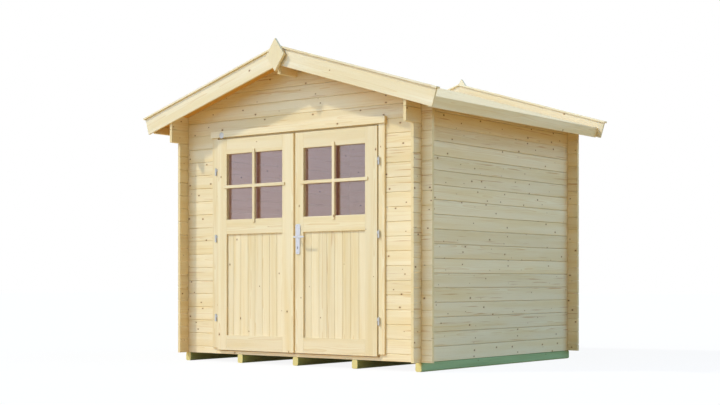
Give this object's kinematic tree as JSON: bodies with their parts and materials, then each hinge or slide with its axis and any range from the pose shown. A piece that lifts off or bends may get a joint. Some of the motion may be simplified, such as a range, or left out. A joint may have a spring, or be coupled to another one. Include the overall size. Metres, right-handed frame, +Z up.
{
  "type": "garden shed",
  "caption": "Garden shed of interlocking softwood logs on treated joists, with a low gable roof and a glazed double door that swings outwards, worked by a lever handle.",
  "frame": {"origin": "on the ground, under the middle of the walls' plan, at the underside of the middle joist", "axes": "+X along the front wall to the right, +Y from the front to the back, +Z up"},
  "size_m": [3.121, 2.753, 2.6528],
  "materials": {
    "log_wood": "bare planed softwood",
    "joinery_wood": "bare planed softwood",
    "trim_wood": "bare planed softwood",
    "inner_wood": "bare planed boards",
    "treated_wood": "green pressure-treated softwood",
    "glazing": "clear",
    "zinc_steel": "zinc plated",
    "handle_metal": "satin"
  },
  "bodies": {
    "shed": {"base_joists": "treated_wood", "floor": "inner_wood", "left_wall": "log_wood", "right_wall": "log_wood", "left_eave_logs": "log_wood", "right_eave_logs": "log_wood", "back_wall": "log_wood", "front_wall_left": "log_wood", "front_wall_right": "log_wood", "front_gable": "log_wood", "jamb_left": "joinery_wood", "jamb_right": "joinery_wood", "door_head": "joinery_wood", "door_sill": "joinery_wood", "casing_left": "joinery_wood", "casing_right": "joinery_wood", "casing_head": "joinery_wood", "ridge_purlin": "log_wood", "roof_boards_left": "inner_wood", "roof_boards_right": "inner_wood", "eave_board_left": "trim_wood", "eave_board_right": "trim_wood", "front_barge_board_left": "trim_wood", "front_barge_board_right": "trim_wood", "back_barge_board_left": "trim_wood", "back_barge_board_right": "trim_wood", "front_cover_strip_left": "trim_wood", "front_cover_strip_right": "trim_wood", "back_cover_strip_left": "trim_wood", "back_cover_strip_right": "trim_wood", "front_finial": "trim_wood", "back_finial": "trim_wood", "frame_hinge_barrels": "zinc_steel"},
    "left_door": {"left_door_stiles": "joinery_wood", "left_door_rails": "joinery_wood", "left_door_panel": "joinery_wood", "left_door_glass": "glazing", "left_door_hinge_barrels": "zinc_steel"},
    "right_door": {"right_door_stiles": "joinery_wood", "right_door_rails": "joinery_wood", "right_door_panel": "joinery_wood", "right_door_glass": "glazing", "right_door_hinge_barrels": "zinc_steel", "handle_plates": "handle_metal"},
    "lever": {"door_lever": "handle_metal"}
  },
  "joints": [
    {"name": "left_door_hinge", "type": "hinge", "parent": "shed", "child": "left_door", "pos_m": [-0.875, -1.185, 0.072], "axis": [0, 0, -1], "range_deg": [0, 140]},
    {"name": "right_door_hinge", "type": "hinge", "parent": "shed", "child": "right_door", "pos_m": [0.875, -1.185, 0.072], "axis": [0, 0, 1], "range_deg": [0, 140]},
    {"name": "lever_turn", "type": "hinge", "parent": "right_door", "child": "lever", "pos_m": [0.053, -1.163, 1.054], "axis": [0, 1, 0], "range_deg": [0, 40], "stiffness_Nm_per_rad": 1.5}
  ]
}
